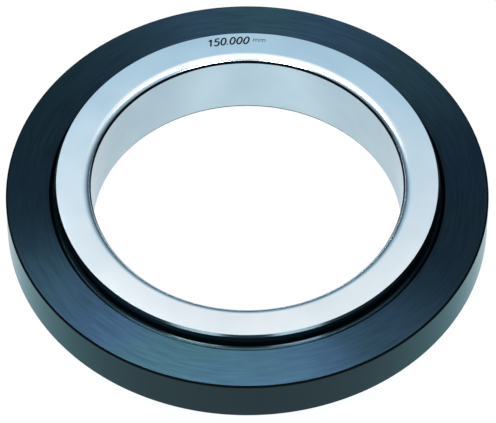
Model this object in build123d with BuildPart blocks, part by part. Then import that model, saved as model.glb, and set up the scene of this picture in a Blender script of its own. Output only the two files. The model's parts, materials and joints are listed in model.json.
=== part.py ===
from build123d import *
import os

# Setting ring gauge, turned and ground from one piece of steel, in millimetres.
# The hub holds the gauge bore and stands out of the flange at both ends, and both ends are alike.
# The ring lies on its lower hub face: the origin is the centre of that face, and +Z is the bore's axis.

# Driving dimensions
bore_diameter = 150.0
hub_wall = 17.5  # from the bore to the hub's outside
flange_width = 23.5  # from the hub's outside to the rim
flange_thickness = 24.0
hub_step = 7.5  # how far each end of the hub stands out of the flange
mouth_radius = 4.5  # the rounded lead-in at each end of the bore
mouth_depth = 3.2  # how far it runs down the bore, to the edge that grinding the bore leaves
hub_chamfer_width = 0.9  # the steep bevels around the hub's faces
hub_chamfer_depth = 1.1
rim_chamfer_width = 0.8  # and around the flange's faces
rim_chamfer_depth = 1.1
groove_width = 2.7  # the relief groove cut in the flange at the hub's foot
groove_depth = 1.4
groove_bevel = 0.7  # the 45 degree cone at the bottom of the groove's inner side

# Worked out from them
bore_radius = bore_diameter / 2
hub_radius = bore_radius + hub_wall
flange_radius = hub_radius + flange_width
ring_height = flange_thickness + 2 * hub_step
mouth_width = (mouth_depth * (2 * mouth_radius - mouth_depth)) ** 0.5

# Heights on the section, above the middle of the ring
hub_top = ring_height / 2
bore_top = hub_top - mouth_depth
hub_wall_top = hub_top - hub_chamfer_depth
flange_top = flange_thickness / 2
groove_floor = flange_top - groove_depth
rim_top = flange_top - rim_chamfer_depth

section_plane = Plane(origin=(0, 0, ring_height / 2), x_dir=(1, 0, 0), z_dir=(0, -1, 0))

with BuildPart() as gauge_ring:
    with BuildSketch(section_plane):
        with BuildLine():
            # The upper end, from the bore outwards: the rounded mouth starts level with the hub's face
            TangentArc(
                (bore_radius + mouth_width, hub_top),
                (bore_radius, bore_top),
                tangent=(-1, 0),
            )
            Polyline(
                (bore_radius + mouth_width, hub_top),
                (hub_radius - hub_chamfer_width, hub_top),
                (hub_radius, hub_wall_top),
                (hub_radius, groove_floor + groove_bevel),
                (hub_radius + groove_bevel, groove_floor),
                (hub_radius + groove_width, flange_top),
                (flange_radius - rim_chamfer_width, flange_top),
                (flange_radius, rim_top),
            )
            # The lower end is its mirror image, and the bore and the rim join the two
            mirror(about=Plane.XZ)
            Line((bore_radius, -bore_top), (bore_radius, bore_top))
            Line((flange_radius, -rim_top), (flange_radius, rim_top))
        make_face()
    revolve(axis=Axis.Z)

gauge_ring.part.label = "gauge_ring"

os.makedirs("parts", exist_ok=True)
export_step(gauge_ring.part, "parts/gauge_ring.step")
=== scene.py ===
"""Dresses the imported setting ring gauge: ground steel and black oxide, an engraved size, soft light."""

import json
import logging
import math
from dataclasses import dataclass, field
from enum import Enum
from typing import Any

import bmesh
import bpy
from mathutils import Matrix, Vector

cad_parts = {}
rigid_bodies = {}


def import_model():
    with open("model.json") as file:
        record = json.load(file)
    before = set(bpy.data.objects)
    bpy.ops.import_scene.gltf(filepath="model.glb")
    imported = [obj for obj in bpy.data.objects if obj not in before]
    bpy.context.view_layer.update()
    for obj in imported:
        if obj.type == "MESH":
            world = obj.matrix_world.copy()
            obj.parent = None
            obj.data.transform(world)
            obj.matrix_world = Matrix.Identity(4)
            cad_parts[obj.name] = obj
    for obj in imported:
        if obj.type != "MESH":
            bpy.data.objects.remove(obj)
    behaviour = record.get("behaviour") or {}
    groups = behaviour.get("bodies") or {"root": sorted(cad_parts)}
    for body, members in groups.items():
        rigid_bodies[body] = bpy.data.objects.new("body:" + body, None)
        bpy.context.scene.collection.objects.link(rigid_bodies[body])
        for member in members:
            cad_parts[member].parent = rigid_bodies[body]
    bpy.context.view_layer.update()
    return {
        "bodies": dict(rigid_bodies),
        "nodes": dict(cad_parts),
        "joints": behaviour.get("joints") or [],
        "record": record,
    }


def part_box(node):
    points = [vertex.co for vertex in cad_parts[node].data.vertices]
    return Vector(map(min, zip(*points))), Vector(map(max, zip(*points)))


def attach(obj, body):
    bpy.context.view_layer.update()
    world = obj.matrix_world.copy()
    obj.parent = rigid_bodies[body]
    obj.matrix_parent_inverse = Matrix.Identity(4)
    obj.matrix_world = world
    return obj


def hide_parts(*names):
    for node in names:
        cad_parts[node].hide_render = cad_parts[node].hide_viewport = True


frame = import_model()

log = logging.getLogger("setting_ring")

RING_NODE = "gauge_ring"
RING_BODY = "root"
MM_PER_METRE = 1000

Colour = tuple[float, float, float]
Place = tuple[float, float, float]
Point = tuple[float, float]
Range = tuple[float, float]

# Most values of a noise pattern lie in these ranges, which the finishes spread out
PATCH_SPAN: Range = (0.35, 0.65)
MARK_SPAN: Range = (0.3, 0.7)


class NodeSheet:
    """Adds nodes to one tree and wires them, so that a tree reads as a list of steps."""

    def __init__(self, tree: bpy.types.NodeTree) -> None:
        """Starts on a shader or geometry tree, which it then fills."""
        self.tree = tree

    def add(self, kind: str, **settings: Any) -> bpy.types.Node:
        """Adds one node.

        Args:
            kind: Blender's name of the node type.
            settings: the node's own properties, by name.

        Returns:
            The new node.
        """
        node = self.tree.nodes.new(kind)
        for name, value in settings.items():
            setattr(node, name, value)
        return node

    def put(self, socket: bpy.types.NodeSocket, value: Any) -> None:
        """Wires an output to a socket, or sets the socket's own value.

        Args:
            socket: the input to fill.
            value: an output socket, or a plain value.
        """
        if isinstance(value, bpy.types.NodeSocket):
            self.tree.links.new(value, socket)
        else:
            socket.default_value = value

    def math(self, operation: str, first: Any, second: Any = 0.0) -> Any:
        """Adds a Math node.

        Args:
            operation: Blender's name of the operation.
            first: the first input, an output socket or a number.
            second: the second input.

        Returns:
            The node's output socket.
        """
        node = self.add("ShaderNodeMath", operation=operation)
        for socket, value in zip(node.inputs, (first, second)):
            self.put(socket, value)
        return node.outputs[0]

    def radius(self, x: Any, y: Any) -> Any:
        """Returns a place's distance from the Z axis, worked out from its X and Y outputs."""
        squares = [self.math("MULTIPLY", part, part) for part in (x, y)]
        return self.math("SQRT", self.math("ADD", *squares))

    def spread(self, value: Any, low: float, high: float, to_low: float, to_high: float) -> Any:
        """Maps a value from one range to another, without going past its ends.

        Args:
            value: the value to map.
            low: where the first range starts.
            high: where it ends.
            to_low: the result at the start.
            to_high: the result at the end.

        Returns:
            The mapped output socket.
        """
        node = self.add("ShaderNodeMapRange", clamp=True)
        names = ("From Min", "From Max", "To Min", "To Max")
        for name, number in zip(names, (low, high, to_low, to_high)):
            node.inputs[name].default_value = number
        self.put(node.inputs["Value"], value)
        return node.outputs["Result"]

    def mix_colour(self, share: Any, first: Colour, second: Colour) -> Any:
        """Blends two colours.

        Args:
            share: how much of the second colour, an output socket.
            first: the colour at 0.
            second: the colour at 1.

        Returns:
            The blended colour's output socket.
        """
        node = self.add("ShaderNodeMix", data_type="RGBA")
        self.put(node.inputs["Factor"], share)
        node.inputs["A"].default_value = (*first, 1.0)
        node.inputs["B"].default_value = (*second, 1.0)
        return node.outputs["Result"]


@dataclass(frozen=True)
class TurnedMarks:
    """The fine marks that run round a turned or ground surface, for a shader tree.

    Attributes:
        pitch: the marks' spacing across the surface, in metres.
        changes_per_radian: how often a mark changes along its way round.
        detail: how many finer layers the marks have.
    """

    pitch: float
    changes_per_radian: float
    detail: float = 2.0

    def value(self, sheet: NodeSheet) -> Any:
        """Adds the nodes that give the marks.

        Args:
            sheet: the shader tree to fill.

        Returns:
            An output socket from 0 to 1.
        """
        parts = sheet.add("ShaderNodeSeparateXYZ")
        sheet.put(parts.inputs[0], sheet.add("ShaderNodeTexCoord").outputs["Object"])
        x, y, z = parts.outputs
        radius = sheet.radius(x, y)
        vector = sheet.add("ShaderNodeCombineXYZ")
        for socket, part in zip(vector.inputs, (x, y)):
            way_round = sheet.math("DIVIDE", part, radius)
            sheet.put(socket, sheet.math("MULTIPLY", way_round, self.changes_per_radian))
        sheet.put(vector.inputs["Z"], sheet.math("DIVIDE", sheet.math("ADD", radius, z), self.pitch))
        noise = sheet.add("ShaderNodeTexNoise")
        noise.inputs["Scale"].default_value = 1.0
        noise.inputs["Detail"].default_value = self.detail
        sheet.put(noise.inputs["Vector"], vector.outputs[0])
        return noise.outputs["Fac"]


def patches(sheet: NodeSheet, size: float) -> Any:
    """Adds a soft patchy pattern in the object's own coordinates.

    Args:
        sheet: the shader tree to fill.
        size: the width of a patch, in metres.

    Returns:
        An output socket from 0 to 1.
    """
    noise = sheet.add("ShaderNodeTexNoise")
    noise.inputs["Scale"].default_value = 1.0 / size
    sheet.put(noise.inputs["Vector"], sheet.add("ShaderNodeTexCoord").outputs["Object"])
    return sheet.spread(noise.outputs["Fac"], *PATCH_SPAN, 0.0, 1.0)


def new_material(name: str) -> tuple[bpy.types.Material, NodeSheet, bpy.types.Node]:
    """Makes a material with a Principled shader.

    Args:
        name: the material's name.

    Returns:
        The material, its sheet of nodes and the shader node.
    """
    material = bpy.data.materials.new(name)
    material.use_nodes = True
    sheet = NodeSheet(material.node_tree)
    shader = next(node for node in material.node_tree.nodes if node.type == "BSDF_PRINCIPLED")
    return material, sheet, shader


class Shine(Enum):
    """Which way the shine of marked steel is wide, by how far the shader turns it."""

    ALONG_MARKS = 0.0
    ACROSS_MARKS = 0.25


@dataclass(frozen=True, kw_only=True)
class MarkedSteel:
    """Steel with fine marks that run round it and spread its shine.

    Attributes:
        name: the material's name.
        roughness: the lowest and highest roughness.
        anisotropy: how much wider the shine is one way than the other, from 0 to 1.
        shine: the way in which it is wide.
        marks: the fine marks.
        mark_height: their depth, in metres.
        patch_size: the width of a patch of its colour, in metres.
    """

    name: str
    roughness: Range
    anisotropy: float
    shine: Shine = Shine.ACROSS_MARKS
    marks: TurnedMarks
    mark_height: float
    patch_size: float

    def metal(self) -> tuple[bpy.types.Material, NodeSheet, bpy.types.Node]:
        """Makes the steel, all but its colour.

        Returns:
            The material, its sheet of nodes and the shader node.
        """
        material, sheet, shader = new_material(self.name)
        shader.inputs["Metallic"].default_value = 1.0
        shader.inputs["Anisotropic"].default_value = self.anisotropy
        shader.inputs["Anisotropic Rotation"].default_value = self.shine.value
        tangent = sheet.add("ShaderNodeTangent", direction_type="RADIAL", axis="Z")
        sheet.put(shader.inputs["Tangent"], tangent.outputs[0])
        marks = self.marks.value(sheet)
        sheet.put(shader.inputs["Roughness"], sheet.spread(marks, *MARK_SPAN, *self.roughness))
        bump = sheet.add("ShaderNodeBump")
        bump.inputs["Strength"].default_value = 1.0
        bump.inputs["Distance"].default_value = self.mark_height
        sheet.put(bump.inputs["Height"], marks)
        sheet.put(shader.inputs["Normal"], bump.outputs[0])
        return material, sheet, shader


@dataclass(frozen=True, kw_only=True)
class GroundSteel(MarkedSteel):
    """Bright steel with the marks of grinding.

    Attributes:
        bright: what its brighter patches reflect.
        dull: what the other patches reflect.
    """

    bright: Colour
    dull: Colour
    marks: TurnedMarks = TurnedMarks(pitch=0.00035, changes_per_radian=3.0)
    mark_height: float = 0.0000004
    patch_size: float = 0.03

    def material(self) -> bpy.types.Material:
        """Makes the finish.

        Returns:
            The new material.
        """
        material, sheet, shader = self.metal()
        patch = patches(sheet, self.patch_size)
        sheet.put(shader.inputs["Base Color"], sheet.mix_colour(patch, self.dull, self.bright))
        return material


@dataclass(frozen=True, kw_only=True)
class BlackOxide(MarkedSteel):
    """Blacked steel with the marks of turning.

    Attributes:
        teal: what the greener patches reflect, seen straight on.
        blue: what the bluer patches reflect.
        streak: how much darker the streaks are, as a share.
        glancing: the tint of what it reflects at a glancing angle.
        streaks: the streaks, which are wider and fainter than the marks.
    """

    teal: Colour
    blue: Colour
    streak: float
    glancing: Colour
    marks: TurnedMarks = TurnedMarks(pitch=0.0006, changes_per_radian=2.0)
    streaks: TurnedMarks = TurnedMarks(pitch=0.0012, changes_per_radian=7.0, detail=5.0)
    mark_height: float = 0.0000008
    patch_size: float = 0.05

    def material(self) -> bpy.types.Material:
        """Makes the finish.

        Returns:
            The new material.
        """
        material, sheet, shader = self.metal()
        patch = patches(sheet, self.patch_size)
        streak = sheet.spread(self.streaks.value(sheet), *PATCH_SPAN, 1.0 - self.streak, 1.0)
        shaded = sheet.add("ShaderNodeVectorMath", operation="SCALE")
        sheet.put(shaded.inputs[0], sheet.mix_colour(patch, self.teal, self.blue))
        sheet.put(shaded.inputs["Scale"], streak)
        sheet.put(shader.inputs["Base Color"], shaded.outputs[0])
        shader.inputs["Specular Tint"].default_value = (*self.glancing, 1.0)
        return material


@dataclass(frozen=True, kw_only=True)
class DullSteel:
    """Dark steel without a shine, with a fine grain: the floor of the engraving, and the painted shade on
    the band at the foot of the bore's lead-in and on the rim bevels.

    Attributes:
        name: the material's name.
        dark: the colour of its darker grains.
        light: the colour of the other grains.
        specular: how much of a shine is left.
        grain_size: the width of a grain, in metres.
        roughness: its roughness.
    """

    name: str
    dark: Colour
    light: Colour
    specular: float
    grain_size: float = 0.0004
    roughness: float = 0.6

    def material(self) -> bpy.types.Material:
        """Makes the finish.

        Returns:
            The new material.
        """
        material, sheet, shader = new_material(self.name)
        grain = patches(sheet, self.grain_size)
        sheet.put(shader.inputs["Base Color"], sheet.mix_colour(grain, self.dark, self.light))
        shader.inputs["Roughness"].default_value = self.roughness
        shader.inputs["Specular IOR Level"].default_value = self.specular
        return material


LAPPED_FACE = GroundSteel(
    name="ground_steel",
    bright=(0.515, 0.590, 0.645),
    dull=(0.465, 0.550, 0.605),
    roughness=(0.14, 0.19),
    anisotropy=0.3,
    shine=Shine.ALONG_MARKS,
)

# Partly painted shade: the honed marks and their wide shine are real, while its colour is darker and bluer
# than the face's steel to stand for the shaded floor that the bore reflects
HONED_BORE_AND_SHADE = GroundSteel(
    name="honed_bore_and_shade",
    bright=(0.407, 0.526, 0.590),
    dull=(0.363, 0.481, 0.545),
    roughness=(0.22, 0.27),
    anisotropy=0.9,
)

FLANGE_FACE = BlackOxide(
    name="blacked_face",
    teal=(0.0102, 0.0246, 0.0318),
    blue=(0.0102, 0.0218, 0.0368),
    streak=0.26,
    glancing=(0.75, 0.90, 1.0),
    roughness=(0.33, 0.40),
    anisotropy=0.9,
)

OILED_WALL = BlackOxide(
    name="oiled_wall",
    teal=(0.0200, 0.0310, 0.0345),
    blue=(0.0190, 0.0290, 0.0350),
    streak=0.10,
    glancing=(0.69, 0.92, 0.98),
    roughness=(0.17, 0.22),
    anisotropy=0.3,
)

# Painted shade: black with no shine, standing for the dark surroundings that the band at the foot of the
# bore's lead-in and the rim bevels reflect
PAINTED_EDGE_SHADE = DullSteel(
    name="painted_edge_shade",
    dark=(0.0008, 0.0010, 0.0012),
    light=(0.0012, 0.0015, 0.0018),
    specular=0.0,
)

STROKE_FLOOR = DullSteel(
    name="engraved_floor",
    dark=(0.0016, 0.0022, 0.0028),
    light=(0.0036, 0.0048, 0.0060),
    specular=0.02,
)


class Finish(Enum):
    """The kinds of face that the turned ring has, each with the name of its input in the turning tree.

    The tree sets them in this order: the walls' finish goes all over, and the others cover their own faces.
    """

    WALL = "Wall finish"
    FACE = "Flange finish"
    GROUND = "Ground finish"
    BORE = "Bore finish"
    # Painted shade: these faces take the black unreflecting edge finish in place of the dark reflections
    # that they show
    EDGE = "Edge painted shade"


RING_FINISHES = {
    Finish.WALL: OILED_WALL,
    Finish.FACE: FLANGE_FACE,
    Finish.GROUND: LAPPED_FACE,
    Finish.BORE: HONED_BORE_AND_SHADE,
    Finish.EDGE: PAINTED_EDGE_SHADE,
}


@dataclass(frozen=True)
class EdgeRounding:
    """How the sharp corners of the turned section are broken.

    Attributes:
        setback: how far the rounding reaches along each side of the corner, in metres.
        steps: how many flats make the rounding.
        hold: a further point on each side, in setbacks, which keeps the wide faces flat in shading.
    """

    setback: float = 0.00010
    steps: int = 4
    hold: float = 2.5

    def points(self, before: Vector, corner: Vector, after: Vector) -> list[Vector]:
        """Rounds one corner of the section.

        Args:
            before: the section's previous corner.
            corner: the corner to round.
            after: the next corner.

        Returns:
            The points that stand for the corner, in order.
        """
        back = (before - corner).normalized()
        on = (after - corner).normalized()
        start = corner + back * self.setback
        end = corner + on * self.setback
        points = [corner + back * self.setback * self.hold]
        for step in range(self.steps + 1):
            share = step / self.steps
            near_start = start.lerp(corner, share)
            near_end = corner.lerp(end, share)
            points.append(near_start.lerp(near_end, share))
        points.append(corner + on * self.setback * self.hold)
        return points


@dataclass(frozen=True)
class RingSection:
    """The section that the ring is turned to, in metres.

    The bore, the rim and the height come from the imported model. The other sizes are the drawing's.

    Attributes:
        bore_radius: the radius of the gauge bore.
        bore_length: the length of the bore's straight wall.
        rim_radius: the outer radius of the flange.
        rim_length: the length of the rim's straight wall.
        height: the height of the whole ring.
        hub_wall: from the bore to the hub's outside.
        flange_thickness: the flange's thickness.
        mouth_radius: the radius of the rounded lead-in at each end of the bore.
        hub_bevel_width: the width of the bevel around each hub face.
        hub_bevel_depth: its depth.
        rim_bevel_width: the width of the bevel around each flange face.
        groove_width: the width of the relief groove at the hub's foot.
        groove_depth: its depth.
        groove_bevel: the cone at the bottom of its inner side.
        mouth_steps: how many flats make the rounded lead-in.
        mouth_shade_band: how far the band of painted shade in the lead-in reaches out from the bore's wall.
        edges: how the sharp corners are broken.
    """

    bore_radius: float
    bore_length: float
    rim_radius: float
    rim_length: float
    height: float
    hub_wall: float = 0.0175
    flange_thickness: float = 0.024
    mouth_radius: float = 0.0045
    hub_bevel_width: float = 0.0009
    hub_bevel_depth: float = 0.0011
    rim_bevel_width: float = 0.0008
    groove_width: float = 0.0027
    groove_depth: float = 0.0014
    groove_bevel: float = 0.0007
    mouth_steps: int = 18
    mouth_shade_band: float = 0.00076
    edges: EdgeRounding = EdgeRounding()

    @classmethod
    def from_frame(cls, packed: dict[str, Any]) -> "RingSection":
        """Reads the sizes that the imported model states.


        Returns:
            The section.
        """
        mounts = {mount["name"]: mount["dims"] for mount in packed["record"]["mounts"]}
        low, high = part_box(RING_NODE)
        return cls(
            bore_radius=mounts["gauge_bore"]["r_mm"] / MM_PER_METRE,
            bore_length=mounts["gauge_bore"]["length_mm"] / MM_PER_METRE,
            rim_radius=mounts["rim"]["r_mm"] / MM_PER_METRE,
            rim_length=mounts["rim"]["length_mm"] / MM_PER_METRE,
            height=high.z - low.z,
        )

    @property
    def hub_radius(self) -> float:
        """The hub's outer radius."""
        return self.bore_radius + self.hub_wall

    @property
    def face_radius(self) -> float:
        """The outer radius of the hub's flat face."""
        return self.hub_radius - self.hub_bevel_width

    def mouth(self) -> list[Vector]:
        """Lays out the rounded lead-in of the upper end.

        Returns:
            Its points, from its edge in the bore up to the hub's face.
        """
        depth = (self.height - self.bore_length) / 2
        reach = math.acos(1 - depth / self.mouth_radius)
        centre_radius = self.bore_radius + self.mouth_radius * math.sin(reach)
        centre = Vector((centre_radius, self.height / 2 - self.mouth_radius))
        points = []
        for step in range(self.mouth_steps + 1):
            angle = reach * (1 - step / self.mouth_steps)
            points.append(centre + self.mouth_radius * Vector((-math.sin(angle), math.cos(angle))))
        return points

    def corners(self) -> list[Vector]:
        """Lays out the sharp corners of the upper half.

        Returns:
            The corners, from the hub's face out to the rim.
        """
        top = self.height / 2
        flange_top = self.flange_thickness / 2
        groove_floor = flange_top - self.groove_depth
        hub = self.hub_radius
        return [
            Vector((self.face_radius, top)),
            Vector((hub, top - self.hub_bevel_depth)),
            Vector((hub, groove_floor + self.groove_bevel)),
            Vector((hub + self.groove_bevel, groove_floor)),
            Vector((hub + self.groove_width, flange_top)),
            Vector((self.rim_radius - self.rim_bevel_width, flange_top)),
            Vector((self.rim_radius, self.rim_length / 2)),
        ]

    def outline(self) -> list[Vector]:
        """Lays out the whole closed section, whose lower half mirrors the upper one.

        Returns:
            Its points, each a radius and a height above the middle of the ring.
        """
        mouth = self.mouth()
        corners = self.corners()
        rim = Vector((self.rim_radius, 0.0))
        upper = list(mouth)
        for before, corner, after in zip([mouth[-1]] + corners, corners, corners[1:] + [rim]):
            upper += self.edges.points(before, corner, after)
        lower = [Vector((point.x, -point.y)) for point in reversed(upper)]
        return upper + lower


def wire_loop(name: str, points: list[Vector], closed: bool) -> bpy.types.Object:
    """Makes a mesh of edges alone, as the line that a geometry tree follows.

    Args:
        name: the object's name.
        points: the line's points, in the frame.
        closed: whether the last point joins the first.

    Returns:
        The new object.
    """
    count = len(points)
    edges = [(index, index + 1) for index in range(count - 1)]
    if closed:
        edges.append((count - 1, 0))
    mesh = bpy.data.meshes.new(name)
    mesh.from_pydata([tuple(point) for point in points], edges, [])
    line = bpy.data.objects.new(name, mesh)
    bpy.context.scene.collection.objects.link(line)
    return line


class GeometryRecipe:
    """A Geometry Nodes tree with named inputs, which turns a line into a finished mesh."""

    def __init__(self, name: str, inputs: dict[str, str]) -> None:
        """Starts a tree with its inputs.

        Args:
            name: the tree's name.
            inputs: each input's name and its socket type.
        """
        self.tree = bpy.data.node_groups.new(name, "GeometryNodeTree")
        self.tree.interface.new_socket("Line", in_out="INPUT", socket_type="NodeSocketGeometry")
        self.tree.interface.new_socket("Result", in_out="OUTPUT", socket_type="NodeSocketGeometry")
        self.keys = {}
        for title, kind in inputs.items():
            socket = self.tree.interface.new_socket(title, in_out="INPUT", socket_type=kind)
            self.keys[title] = socket.identifier
        self.sheet = NodeSheet(self.tree)
        self.start = self.sheet.add("NodeGroupInput")
        self.end = self.sheet.add("NodeGroupOutput")

    def chain(self, geometry: Any, kind: str) -> bpy.types.Node:
        """Adds a node that the geometry passes through.

        Args:
            geometry: the output socket that the geometry comes from.
            kind: Blender's name of the node type.

        Returns:
            The new node.
        """
        node = self.sheet.add(kind)
        self.sheet.put(node.inputs[0], geometry)
        return node

    def make(self, line: bpy.types.Object, values: dict[str, Any]) -> bpy.types.Mesh:
        """Runs the tree on a line, and leaves the line's object without it.

        Args:
            line: the object whose mesh is the line.
            values: each input's value, by the input's name.

        Returns:
            The finished plain mesh.
        """
        modifier = line.modifiers.new(self.tree.name, "NODES")
        modifier.node_group = self.tree
        for title, value in values.items():
            modifier[self.keys[title]] = value
        depsgraph = bpy.context.evaluated_depsgraph_get()
        mesh = bpy.data.meshes.new_from_object(line.evaluated_get(depsgraph))
        line.modifiers.remove(modifier)
        return mesh


def turning_recipe() -> GeometryRecipe:
    """Builds the tree that turns a closed section into a ring with its finishes.

    Returns:
        The recipe, whose line is the section, drawn about the circle that it follows.
    """
    sizes = (
        "Path radius",
        "Face radius",
        "Shade band radius",
        "Shade band height",
        "Flange start",
        "Flange end",
        "Rim height",
    )
    inputs = {"Segments": "NodeSocketInt"}
    for size in sizes:
        inputs[size] = "NodeSocketFloat"
    for finish in Finish:
        inputs[finish.value] = "NodeSocketMaterial"
    recipe = GeometryRecipe("turned_ring", inputs)
    sheet = recipe.sheet
    given = recipe.start.outputs

    # The section goes round the circle, and each finish in turn goes on the faces that its input selects
    path = sheet.add("GeometryNodeCurvePrimitiveCircle", mode="RADIUS")
    sheet.put(path.inputs["Resolution"], given["Segments"])
    sheet.put(path.inputs["Radius"], given["Path radius"])
    section = recipe.chain(given["Line"], "GeometryNodeMeshToCurve")
    turned = recipe.chain(path.outputs["Curve"], "GeometryNodeCurveToMesh")
    sheet.put(turned.inputs["Profile Curve"], section.outputs["Curve"])
    smooth = recipe.chain(turned.outputs["Mesh"], "GeometryNodeSetShadeSmooth")
    real = recipe.chain(smooth.outputs["Geometry"], "GeometryNodeRealizeInstances")
    geometry = real.outputs["Geometry"]
    selections = {}
    for finish in Finish:
        dressed = recipe.chain(geometry, "GeometryNodeSetMaterial")
        sheet.put(dressed.inputs["Material"], given[finish.value])
        selections[finish] = dressed.inputs["Selection"]
        geometry = dressed.outputs["Geometry"]
    sheet.put(recipe.end.inputs["Result"], geometry)

    # Which faces these are goes by their middle's radius, and its height above or below the ring's middle
    parts = sheet.add("ShaderNodeSeparateXYZ")
    sheet.put(parts.inputs[0], sheet.add("GeometryNodeInputPosition").outputs[0])
    x, y, z = parts.outputs
    radius = sheet.radius(x, y)
    height = sheet.math("ABSOLUTE", z)
    past_groove = sheet.math("GREATER_THAN", radius, given["Flange start"])
    before_rim = sheet.math("LESS_THAN", radius, given["Flange end"])
    sheet.put(selections[Finish.FACE], sheet.math("MULTIPLY", past_groove, before_rim))
    sheet.put(selections[Finish.GROUND], sheet.math("LESS_THAN", radius, given["Face radius"]))
    # Painted shade: the band at the foot of the lead-in and the rim bevels take the black edge finish
    near_bore = sheet.math("LESS_THAN", radius, given["Shade band radius"])
    past_bore = sheet.math("GREATER_THAN", height, given["Shade band height"])
    in_shade_band = sheet.math("MULTIPLY", past_bore, near_bore)
    sheet.put(selections[Finish.BORE], sheet.math("SUBTRACT", near_bore, in_shade_band))
    past_flange = sheet.math("GREATER_THAN", radius, given["Flange end"])
    past_rim = sheet.math("GREATER_THAN", height, given["Rim height"])
    in_rim_shade = sheet.math("MULTIPLY", past_flange, past_rim)
    sheet.put(selections[Finish.EDGE], sheet.math("MAXIMUM", in_shade_band, in_rim_shade))
    return recipe


def engraving_recipe() -> GeometryRecipe:
    """Builds the tree that runs a round cutter along a stroke of an engraving.

    Returns:
        The recipe, whose line is the stroke.
    """
    recipe = GeometryRecipe(
        "engraving_cutter",
        {
            "Cutter radius": "NodeSocketFloat",
            "Cutter sides": "NodeSocketInt",
            "Stroke finish": "NodeSocketMaterial",
        },
    )
    sheet = recipe.sheet
    given = recipe.start.outputs
    stroke = recipe.chain(given["Line"], "GeometryNodeMeshToCurve")
    cutter = sheet.add("GeometryNodeCurvePrimitiveCircle", mode="RADIUS")
    sheet.put(cutter.inputs["Resolution"], given["Cutter sides"])
    sheet.put(cutter.inputs["Radius"], given["Cutter radius"])
    swept = recipe.chain(stroke.outputs["Curve"], "GeometryNodeCurveToMesh")
    sheet.put(swept.inputs["Profile Curve"], cutter.outputs["Curve"])
    swept.inputs["Fill Caps"].default_value = True
    real = recipe.chain(swept.outputs["Mesh"], "GeometryNodeRealizeInstances")
    dressed = recipe.chain(real.outputs["Geometry"], "GeometryNodeSetMaterial")
    sheet.put(dressed.inputs["Material"], given["Stroke finish"])
    sheet.put(recipe.end.inputs["Result"], dressed.outputs["Geometry"])
    return recipe


def arc(centre: Point, width: float, height: float, start: float, end: float, steps: int) -> list[Point]:
    """Gives points along part of an ellipse, as shares of a character's height.

    Args:
        centre: the ellipse's centre.
        width: half its width.
        height: half its height.
        start: the first angle, in degrees.
        end: the last angle.
        steps: how many steps lie between them.

    Returns:
        The points in order.
    """
    points = []
    for step in range(steps + 1):
        angle = math.radians(start + (end - start) * step / steps)
        points.append((centre[0] + width * math.cos(angle), centre[1] + height * math.sin(angle)))
    return points


@dataclass(frozen=True)
class Glyph:
    """One engraved character.

    Attributes:
        strokes: each stroke's points, as shares of the character's height.
        width: its width, as such a share.
        closed: whether each stroke joins its own start.
    """

    strokes: tuple[tuple[Point, ...], ...]
    width: float
    closed: bool = False


def glyphs() -> dict[str, Glyph]:
    """Draws the plain single-stroke characters of the engraving.

    Returns:
        The characters, by name.
    """
    hump = 0.17
    shoulder = 0.31
    letter_m = (
        ((0.0, 0.0), (0.0, 0.5)),
        ((0.0, 0.3), *arc((hump, shoulder), hump, hump, 180, 0, 8), (2 * hump, 0.0)),
        ((2 * hump, 0.3), *arc((3 * hump, shoulder), hump, hump, 180, 0, 8), (4 * hump, 0.0)),
    )
    five_bowl = tuple(arc((0.28, 0.31), 0.28, 0.31, 128, -150, 16))
    return {
        "1": Glyph((((0.36, 1.0), (0.36, 0.0)), ((0.10, 0.76), (0.35, 0.98))), 0.46),
        "5": Glyph((((0.56, 1.0), (0.14, 1.0), (0.09, 0.55)), five_bowl), 0.56),
        "0": Glyph((tuple(arc((0.28, 0.5), 0.27, 0.5, 90, 430, 24)),), 0.56, closed=True),
        ".": Glyph((((0.0, 0.0), (0.08, 0.08)),), 0.08),
        "m": Glyph(letter_m, 4 * hump),
    }


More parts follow.
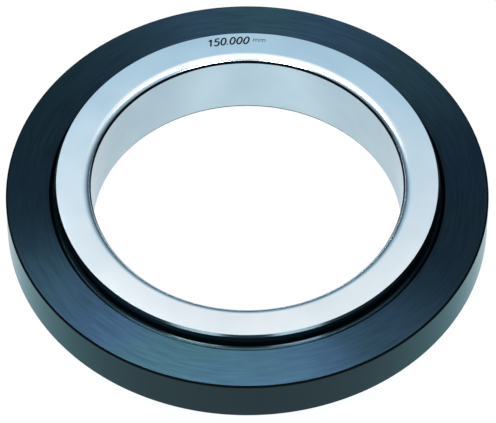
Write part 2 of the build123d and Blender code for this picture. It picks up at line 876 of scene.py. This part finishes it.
@dataclass(frozen=True, kw_only=True)
class EngravedWord:
    """Characters that stand along an arc on the hub's face, with their heads outwards.

    Attributes:
        characters: the characters in reading order.
        height: a character's height, in metres.
        pitch: from one character to the next.
        stop_pitch: the step on each side of a full stop.
        middle_turn: the arc's middle, in degrees round the ring from +X.
        foot_radius: the radius that the characters stand on.
        slant: how far a character's head leans forward, as a share of its height.
        cutter_radius: the round cutter's radius.
        depth: how deep it cuts.
        rise: how much shallower each further stroke of a character is, so that no two cuts coincide.
    """

    characters: str
    height: float
    pitch: float
    stop_pitch: float
    middle_turn: float
    foot_radius: float
    slant: float
    cutter_radius: float
    depth: float
    rise: float = 0.000008

    def places(self) -> list[float]:
        """Spaces the characters out.

        Returns:
            Each character's distance along the arc from the first one.
        """
        places = [0.0]
        for before, after in zip(self.characters, self.characters[1:]):
            step = self.stop_pitch if "." in (before, after) else self.pitch
            places.append(places[-1] + step)
        return places

    def passes(self) -> int:
        """Returns how many passes the cutter makes, one for each stroke of the fullest character."""
        alphabet = glyphs()
        return max(len(alphabet[character].strokes) for character in self.characters)

    def lines(self, face_height: float, turn: int) -> list[tuple[list[Vector], bool]]:
        """Lays out the strokes of one pass on the face.

        Args:
            face_height: the height of the hub's face, in metres.
            turn: which stroke of each character this pass cuts.

        Returns:
            Each stroke's points in the frame, and whether it is closed.
        """
        alphabet = glyphs()
        places = self.places()
        middle = places[-1] / 2
        lift = Vector((0.0, 0.0, face_height + self.cutter_radius - self.depth + turn * self.rise))
        found = []
        for character, place in zip(self.characters, places):
            glyph = alphabet[character]
            angle = math.radians(self.middle_turn) - (place - middle) / self.foot_radius
            outwards = Vector((math.cos(angle), math.sin(angle), 0.0))
            onwards = Vector((math.sin(angle), -math.cos(angle), 0.0))
            # A character with fewer strokes than this has none to cut
            for stroke in glyph.strokes[turn:turn + 1]:
                points = []
                for across, up in stroke:
                    along = (across - glyph.width / 2 + (up - 0.5) * self.slant) * self.height
                    points.append(outwards * (self.foot_radius + up * self.height) + onwards * along + lift)
                found.append((points, glyph.closed))
        return found


SIZE_WORD = EngravedWord(
    characters="150.000",
    height=0.0042,
    pitch=0.0033,
    stop_pitch=0.0022,
    middle_turn=96.2,
    foot_radius=0.0849,
    slant=0.26,
    cutter_radius=0.00046,
    depth=0.00036,
)

UNIT_WORD = EngravedWord(
    characters="mm",
    height=0.0036,
    pitch=0.0033,
    stop_pitch=0.0033,
    middle_turn=86.0,
    foot_radius=0.0863,
    slant=0.2,
    cutter_radius=0.00018,
    depth=0.00012,
)


@dataclass
class SettingRing:
    """The whole object: one turned ring with its engraved size.

    Attributes:
        section: the section that it is turned to.
        finishes: the finish of each kind of face.
        stroke_floor: the finish inside the engraved strokes.
        words: the engraved words.
        segments: how many flats go round the ring.
        path_radius: the radius of the circle that the section is drawn about, in metres.
        cutter_sides: how many flats go round the engraving cutter.
        sharp_angle: the angle between two faces past which their edge is shaded sharp, in degrees.
    """

    section: RingSection
    finishes: dict[Finish, GroundSteel | BlackOxide | DullSteel] = field(default_factory=RING_FINISHES.copy)
    stroke_floor: DullSteel = STROKE_FLOOR
    words: tuple[EngravedWord, ...] = (SIZE_WORD, UNIT_WORD)
    segments: int = 384
    path_radius: float = 0.09
    cutter_sides: int = 10
    sharp_angle: float = 14.0

    def turned(self, materials: dict[Finish, bpy.types.Material]) -> bpy.types.Object:
        """Turns the ring from its section.

        Args:
            materials: the material of each kind of face.

        Returns:
            The ring's object, a closed mesh without the engraving.
        """
        section = self.section
        profile = [Vector((point.x - self.path_radius, point.y, 0.0)) for point in section.outline()]
        line = wire_loop("section_line", profile, closed=True)
        values = {
            "Segments": self.segments,
            "Path radius": self.path_radius,
            "Face radius": section.face_radius - section.edges.setback,
            # Painted shade: the band that turns black at the foot of each lead-in
            "Shade band radius": section.bore_radius + section.mouth_shade_band,
            "Shade band height": section.bore_length / 2,
            "Flange start": section.hub_radius + section.groove_width,
            "Flange end": section.rim_radius - section.rim_bevel_width,
            "Rim height": section.rim_length / 2,
        }
        for finish, material in materials.items():
            values[finish.value] = material
        mesh = turning_recipe().make(line, values)
        bpy.data.objects.remove(line)
        mesh.transform(Matrix.Translation((0.0, 0.0, section.height / 2)))
        edit = bmesh.new()
        edit.from_mesh(mesh)
        bmesh.ops.recalc_face_normals(edit, faces=edit.faces)
        edit.to_mesh(mesh)
        edit.free()
        mesh.name = "turned_ring"
        ring = bpy.data.objects.new("turned_ring", mesh)
        bpy.context.scene.collection.objects.link(ring)
        return ring

    def cutter(self, material: bpy.types.Material, turn: int) -> bpy.types.Object:
        """Makes the solid that one pass over the words cuts away.

        Args:
            material: the finish of the strokes.
            turn: which stroke of each character the pass cuts.

        Returns:
            The cutter's object.
        """
        recipe = engraving_recipe()
        joined = bmesh.new()
        for word in self.words:
            values = {
                "Cutter radius": word.cutter_radius,
                "Cutter sides": self.cutter_sides,
                "Stroke finish": material,
            }
            for points, closed in word.lines(self.section.height, turn):
                line = wire_loop("stroke_line", points, closed)
                mesh = recipe.make(line, values)
                joined.from_mesh(mesh)
                bpy.data.objects.remove(line)
                bpy.data.meshes.remove(mesh)
        bmesh.ops.recalc_face_normals(joined, faces=joined.faces)
        mesh = bpy.data.meshes.new("engraving_cutter")
        joined.to_mesh(mesh)
        joined.free()
        mesh.materials.append(material)
        cutter = bpy.data.objects.new("engraving_cutter", mesh)
        bpy.context.scene.collection.objects.link(cutter)
        return cutter

    def engrave(self, ring: bpy.types.Object, material: bpy.types.Material) -> None:
        """Cuts the words into the upper hub face.

        Args:
            ring: the turned ring.
            material: the finish of the strokes.
        """
        for turn in range(max(word.passes() for word in self.words)):
            cutter = self.cutter(material, turn)
            cut = ring.modifiers.new("engraving", "BOOLEAN")
            cut.object = cutter
            cut.operation = "DIFFERENCE"
            cut.solver = "MANIFOLD"
            cut.material_mode = "TRANSFER"
            depsgraph = bpy.context.evaluated_depsgraph_get()
            mesh = bpy.data.meshes.new_from_object(ring.evaluated_get(depsgraph))
            ring.modifiers.remove(cut)
            old = ring.data
            ring.data = mesh
            bpy.data.meshes.remove(old)
            bpy.data.objects.remove(cutter)

    def build(self) -> bpy.types.Object:
        """Builds and dresses the ring, and puts it in the place of its CAD node.

        Returns:
            The finished piece.
        """
        materials = {kind: finish.material() for kind, finish in self.finishes.items()}
        ring = self.turned(materials)
        self.engrave(ring, self.stroke_floor.material())
        ring.data.shade_smooth()
        ring.data.set_sharp_from_angle(angle=math.radians(self.sharp_angle))
        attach(ring, RING_BODY)
        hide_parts(RING_NODE)
        return ring


COOL_WHITE: Colour = (0.95, 0.97, 1.0)


@dataclass(frozen=True)
class Panel:
    """One soft light panel.

    Attributes:
        name: the light's name.
        place: its middle, in metres.
        target: the point that it faces.
        size: its width and height.
        radiance: how bright its face looks.
        colour: its colour.
    """

    name: str
    place: Place
    target: Place
    size: tuple[float, float]
    radiance: float
    colour: Colour = COOL_WHITE

    def build(self) -> bpy.types.Object:
        """Makes the panel as a light that the camera doesn't see.

        Returns:
            The light's object.
        """
        light = bpy.data.lights.new(self.name, "AREA")
        light.shape = "RECTANGLE"
        light.size, light.size_y = self.size
        light.energy = self.radiance * self.size[0] * self.size[1] * math.pi
        light.color = self.colour
        panel = bpy.data.objects.new(self.name, light)
        panel.location = self.place
        aim = Vector(self.target) - Vector(self.place)
        panel.rotation_euler = aim.to_track_quat("-Z", "Y").to_euler()
        panel.visible_camera = False
        bpy.context.scene.collection.objects.link(panel)
        return panel


def level_panel(name: str, place: Place, size: tuple[float, float], **look: Any) -> Panel:
    """Returns a panel that hangs level and faces straight down, with the radiance and colour of its look."""
    return Panel(name, place, (place[0], place[1], 0.0), size, **look)


def front_panel(name: str, x: float) -> Panel:
    """Returns a panel that stands at the front, x metres to the right, and faces the ring."""
    return Panel(
        name=name,
        place=(x, -0.80, 0.44),
        target=(0.0, 0.0, 0.03),
        size=(0.36, 0.16),
        radiance=28.0,
        colour=(1.0, 1.0, 1.0),
    )


STUDIO_PANELS = (
    level_panel("overhead_panel", (-0.07, -0.10, 0.45), (0.46, 0.22), radiance=39.0),
    level_panel("left_panel", (-0.26, 0.12, 0.45), (0.28, 0.16), radiance=14.0),
    level_panel("right_panel", (0.21, 0.03, 0.45), (0.12, 0.16), radiance=12.0),
    level_panel("near_sky_panel", (0.0, 0.14, 0.455), (0.5, 0.28), radiance=0.36, colour=(1.0, 0.50, 0.20)),
    level_panel("far_sky_panel", (0.0, 0.18, 0.46), (0.5, 0.36), radiance=0.34, colour=(1.0, 0.52, 0.20)),
    front_panel("left_front_panel", -0.36),
    front_panel("right_front_panel", 0.36),
)


@dataclass(frozen=True)
class Studio:
    """The plain pale floor, the soft light and the camera.

    Attributes:
        floor_size: the floor's width, in metres.
        floor_drop: how far it lies below the ring, so that their faces don't coincide.
        floor_colour: what it reflects.
        floor_glow: what it gives off, which makes it pale.
        floor_roughness: its roughness.
        backdrop: what the camera sees past the floor.
        dome_colour: the colour of the light from all round.
        dome_steps: its brightness by height, from the horizon at 0 to straight above at 1.
        dome_front: how much higher a place right at the front counts.
        panels: the soft light panels.
        camera_place: where the camera stands, in metres.
        camera_elevation: how steeply it looks down, in degrees.
        camera_lens: its focal length, in millimetres.
        camera_sensor: its sensor's width, in millimetres.
    """

    floor_size: float = 0.5
    floor_drop: float = 0.0001
    floor_colour: Colour = (0.010, 0.010, 0.010)
    floor_glow: Colour = (0.975, 0.985, 0.995)
    floor_roughness: float = 0.9
    backdrop: Colour = (1.0, 1.0, 1.0)
    dome_colour: Colour = (0.67, 0.87, 1.0)
    dome_steps: tuple[tuple[float, float], ...] = (
        (0.0, 0.03),
        (0.12, 0.10),
        (0.33, 0.36),
        (0.56, 0.80),
        (0.8, 1.15),
        (0.95, 1.4),
        (1.0, 1.5),
    )
    dome_front: float = 0.35
    panels: tuple[Panel, ...] = STUDIO_PANELS
    camera_place: Place = (0.00038, -1.3276, 1.7433)
    camera_elevation: float = 52.48
    camera_lens: float = 327.3
    camera_sensor: float = 36.0

    def floor(self) -> bpy.types.Object:
        """Makes the pale floor that the ring lies on.

        Returns:
            The floor's object.
        """
        half = self.floor_size / 2
        mesh = bpy.data.meshes.new("floor")
        corners = [(-half, -half), (half, -half), (half, half), (-half, half)]
        mesh.from_pydata([(x, y, -self.floor_drop) for x, y in corners], [], [(0, 1, 2, 3)])
        floor = bpy.data.objects.new("floor", mesh)
        bpy.context.scene.collection.objects.link(floor)
        material, _, shader = new_material("pale_floor")
        shader.inputs["Base Color"].default_value = (*self.floor_colour, 1.0)
        shader.inputs["Emission Color"].default_value = (*self.floor_glow, 1.0)
        shader.inputs["Emission Strength"].default_value = 1.0
        shader.inputs["Roughness"].default_value = self.floor_roughness
        shader.inputs["Specular IOR Level"].default_value = 0.0
        mesh.materials.append(material)
        return floor

    def dome(self) -> None:
        """Lights the scene softly from all round, more from above and the front, with a white backdrop."""
        world = bpy.data.worlds.new("studio")
        world.use_nodes = True
        world.node_tree.nodes.clear()
        sheet = NodeSheet(world.node_tree)
        parts = sheet.add("ShaderNodeSeparateXYZ")
        sheet.put(parts.inputs[0], sheet.add("ShaderNodeTexCoord").outputs["Generated"])
        forward = sheet.math("MAXIMUM", sheet.math("MULTIPLY", parts.outputs["Y"], -self.dome_front), 0.0)
        steps = sheet.add("ShaderNodeValToRGB")
        sheet.put(steps.inputs["Fac"], sheet.math("ADD", parts.outputs["Z"], forward))
        stops = steps.color_ramp.elements
        brightest = max(value for _, value in self.dome_steps)
        # Further stops start anywhere on the ramp, and then all are moved to their places in order
        while len(stops) < len(self.dome_steps):
            stops.new(0.5)
        for stop, (place, value) in zip(stops, self.dome_steps):
            stop.position = place
            stop.color = (*(channel * value / brightest for channel in self.dome_colour), 1.0)
        light = sheet.add("ShaderNodeBackground")
        sheet.put(light.inputs["Color"], steps.outputs["Color"])
        light.inputs["Strength"].default_value = brightest
        backdrop = sheet.add("ShaderNodeBackground")
        backdrop.inputs["Color"].default_value = (*self.backdrop, 1.0)
        mixed = sheet.add("ShaderNodeMixShader")
        sheet.put(mixed.inputs[0], sheet.add("ShaderNodeLightPath").outputs["Is Camera Ray"])
        sheet.put(mixed.inputs[1], light.outputs[0])
        sheet.put(mixed.inputs[2], backdrop.outputs[0])
        output = sheet.add("ShaderNodeOutputWorld")
        sheet.put(output.inputs["Surface"], mixed.outputs[0])
        bpy.context.scene.world = world

    def camera(self) -> bpy.types.Object:
        """Sets up the camera at the photograph's angle.

        Returns:
            The camera's object.
        """
        data = bpy.data.cameras.new("camera")
        data.lens = self.camera_lens
        data.sensor_width = self.camera_sensor
        camera = bpy.data.objects.new("camera", data)
        camera.location = self.camera_place
        camera.rotation_euler = (math.radians(90.0 - self.camera_elevation), 0.0, 0.0)
        bpy.context.scene.collection.objects.link(camera)
        bpy.context.scene.camera = camera
        return camera

    def build(self) -> None:
        """Builds the floor, the lights and the camera."""
        self.floor()
        self.dome()
        for panel in self.panels:
            panel.build()
        self.camera()
        bpy.context.scene.view_settings.view_transform = "Standard"


def main() -> None:
    """Builds the studio and the ring, and reports each piece."""
    logging.basicConfig(level=logging.INFO)
    Studio().build()
    log.info("studio built")
    ring = SettingRing(RingSection.from_frame(frame)).build()
    log.info("%s built: %d faces", ring.name, len(ring.data.polygons))


if __name__ == "__main__":
    main()
